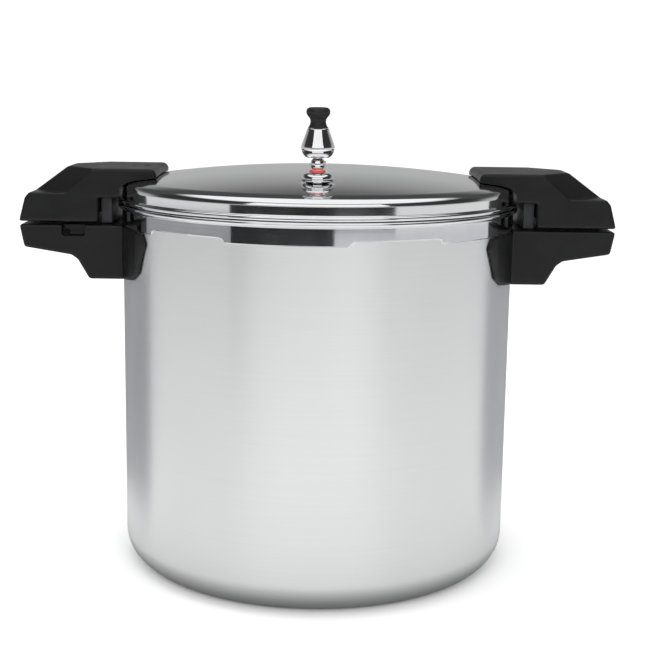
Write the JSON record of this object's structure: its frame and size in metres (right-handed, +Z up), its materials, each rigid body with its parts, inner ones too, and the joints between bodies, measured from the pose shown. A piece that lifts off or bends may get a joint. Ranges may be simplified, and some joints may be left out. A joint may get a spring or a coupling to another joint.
{
  "type": "pressure canner",
  "caption": "Tall aluminium pressure canner with a bayonet domed lid, paired black side handles, a weighted regulator on a vent pipe and a rack inside.",
  "frame": {"origin": "centre of the pot's base, on the surface it stands on", "axes": "+Z up along the pot's axis, X along the two pairs of handles, -Y to the front where the vent pipe stands"},
  "size_m": [0.4738, 0.3258, 0.3768],
  "materials": {
    "pot_aluminium": "satin drawn aluminium, polished round the rim and the base corner",
    "lid_aluminium": "mirror polished",
    "rack_aluminium": "plain mill sheet",
    "cast_aluminium": "casting with a dark coat",
    "black_phenolic": "moulded black phenolic, softly glossy on its edges",
    "cap_phenolic": "moulded black phenolic",
    "plain_steel": "plain fasteners and plates",
    "chromed_steel": "mirror chrome",
    "gasket_rubber": "matt sealing ring",
    "black_rubber": "matt rubber plug",
    "red_silicone": "red silicone seal"
  },
  "bodies": {
    "pot": {"pot_body": "pot_aluminium", "body_handle_left": "black_phenolic", "body_bracket_left": "plain_steel", "body_rivet_left_1": "plain_steel", "body_rivet_left_2": "plain_steel", "body_screw_left_1": "plain_steel", "body_screw_left_2": "plain_steel", "body_handle_right": "black_phenolic", "body_bracket_right": "plain_steel", "body_rivet_right_1": "plain_steel", "body_rivet_right_2": "plain_steel", "body_screw_right_1": "plain_steel", "body_screw_right_2": "plain_steel"},
    "gasket": {"lid_gasket": "gasket_rubber"},
    "lid": {"lid_shell": "lid_aluminium", "vent_pipe": "chromed_steel", "vent_base": "chromed_steel", "vent_seal": "red_silicone", "vent_nut": "plain_steel", "lock_pin_seal": "red_silicone", "lid_handle_left": "black_phenolic", "lid_bracket_left": "cast_aluminium", "lid_rivet_left_1": "plain_steel", "lid_rivet_left_2": "plain_steel", "lid_screw_left_1": "plain_steel", "lid_screw_left_2": "plain_steel", "lid_handle_right": "black_phenolic", "lid_bracket_right": "cast_aluminium", "lid_rivet_right_1": "plain_steel", "lid_rivet_right_2": "plain_steel", "lid_screw_right_1": "plain_steel", "lid_screw_right_2": "plain_steel"},
    "regulator": {"regulator_weight": "chromed_steel", "regulator_cap": "cap_phenolic"},
    "plug": {"overpressure_plug": "black_rubber"},
    "pin": {"lock_pin": "plain_steel"},
    "rack": {"canning_rack": "rack_aluminium"}
  },
  "joints": [
    {"name": "lid_lift", "type": "slide", "parent": "pot", "child": "gasket", "axis": [0, 0, 1], "range_m": [0, 0.15]},
    {"name": "lid_twist", "type": "hinge", "parent": "gasket", "child": "lid", "pos_m": [0, 0, 0.298], "axis": [0, 0, 1], "range_deg": [0, 30]},
    {"name": "regulator_lift", "type": "slide", "parent": "lid", "child": "regulator", "axis": [0, 0, 1], "range_m": [0, 0.03]},
    {"name": "plug_pop", "type": "slide", "parent": "lid", "child": "plug", "axis": [0, 0, 1], "range_m": [0, 0.012]},
    {"name": "lock_pin_rise", "type": "slide", "parent": "lid", "child": "pin", "axis": [0, 0, 1], "range_m": [0, 0.005]},
    {"name": "rack_lift", "type": "slide", "parent": "pot", "child": "rack", "axis": [0, 0, 1], "range_m": [0, 0.24]}
  ]
}
